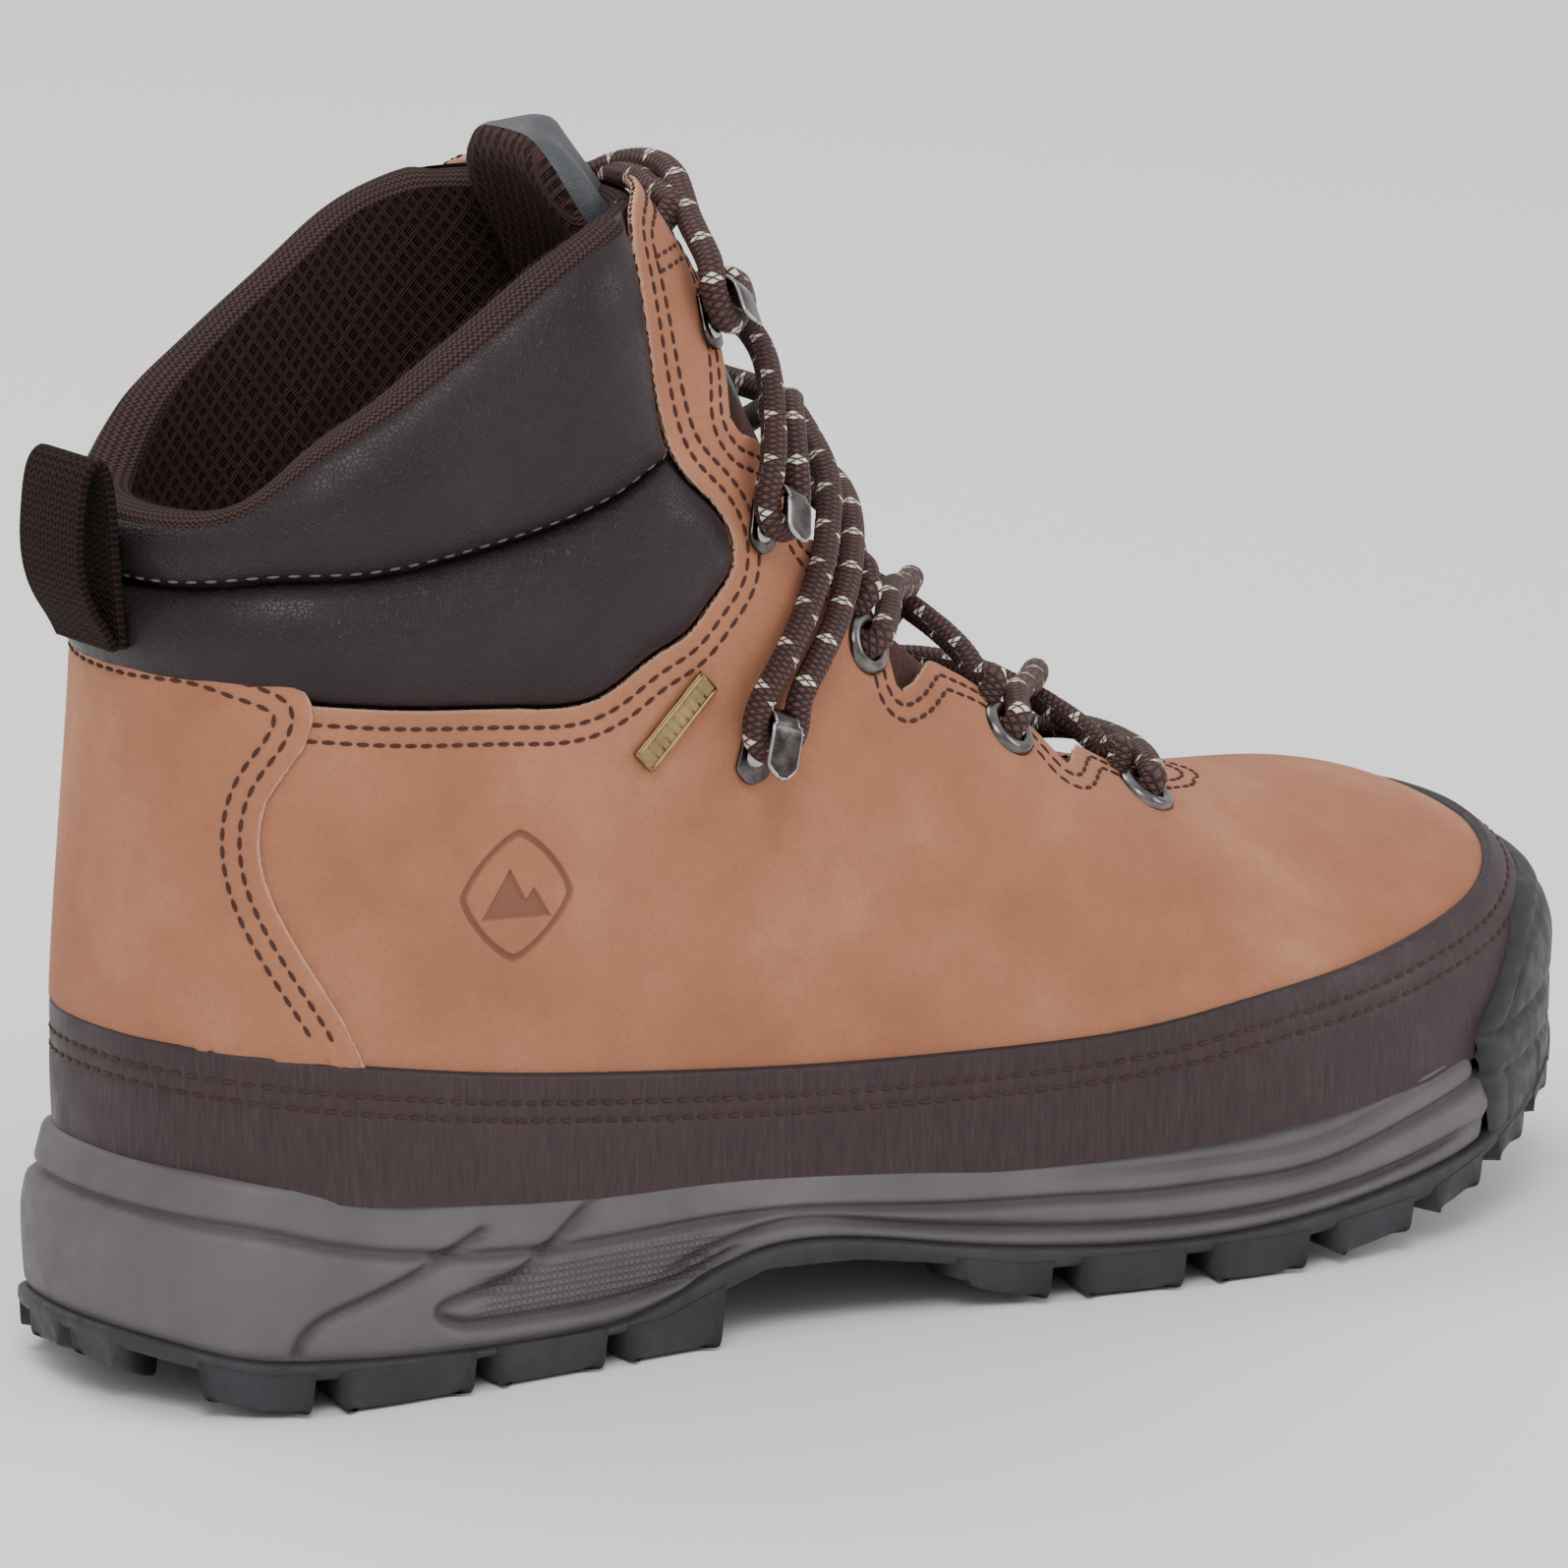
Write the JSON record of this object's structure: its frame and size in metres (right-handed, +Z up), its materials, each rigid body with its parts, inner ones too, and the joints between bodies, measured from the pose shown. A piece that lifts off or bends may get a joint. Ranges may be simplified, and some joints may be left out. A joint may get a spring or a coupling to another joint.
{
  "type": "hiking boot",
  "caption": "Mid-height lace-up hiking boot for the right foot: nubuck upper, dark rand, padded collar, speed hooks, lugged rubber outsole, hinged tongue, lift-out footbed",
  "frame": {"origin": "on the ground under the middle of the outsole", "axes": "+X to the toe, +Y to the inner side of the right foot, +Z up"},
  "size_m": [0.3063, 0.1163, 0.206],
  "materials": {
    "nubuck": "brushed nubuck, matt",
    "coated_leather": "dark brown coated leather, satin, fine vertical brush",
    "collar_leather": "soft smooth dark leather, satin",
    "outsole_rubber": "moulded black rubber, matt",
    "midsole_pu": "moulded grey polyurethane, fine texture",
    "mesh": "brown spacer mesh",
    "foam": "open-cell foam",
    "knit": "knitted edge binding",
    "webbing": "dark brown woven webbing",
    "braid": "round braided lace with pale flecks",
    "suede": "brown gusset fabric",
    "membrane": "thin waterproof laminate",
    "stiffener": "pressed fibre stiffener",
    "board": "lasting board",
    "footbed": "felt-covered moulded footbed",
    "spring_steel": "spring steel",
    "gunmetal": "polished gunmetal plate",
    "old_brass": "brushed brass"
  },
  "bodies": {
    "root": {"midsole": "midsole_pu", "shank": "spring_steel", "outsole": "outsole_rubber", "insole_board": "board", "nubuck_upper": "nubuck", "rand": "coated_leather", "heel_overlay": "nubuck", "heel_counter": "stiffener", "toe_puff": "stiffener", "membrane_bootie": "membrane", "lining": "mesh", "collar_lower_roll": "collar_leather", "collar_upper_roll": "collar_leather", "collar_foam": "foam", "collar_binding": "knit", "tongue_gusset": "suede", "eyelets": "gunmetal", "lace_hooks": "gunmetal", "hook_rivets": "gunmetal", "lace": "braid", "side_tab": "old_brass"},
    "footbed": {"footbed": "footbed"},
    "tongue": {"tongue_cover": "collar_leather", "tongue_foam": "foam", "tongue_lining": "mesh"},
    "pull_loop": {"pull_loop": "webbing"}
  },
  "joints": [
    {"name": "footbed_lift", "type": "hinge", "parent": "root", "child": "footbed", "pos_m": [0.139, 0, 0.039], "axis": [0, 1, 0], "range_deg": [0, 6]},
    {"name": "tongue_tilt", "type": "hinge", "parent": "root", "child": "tongue", "pos_m": [0.08, 0, 0.064], "axis": [0, 1, 0], "range_deg": [-9, 0]},
    {"name": "pull_loop_swing", "type": "hinge", "parent": "root", "child": "pull_loop", "pos_m": [-0.1474, 0, 0.1294], "axis": [0, 1, 0], "range_deg": [-40, 0]}
  ]
}
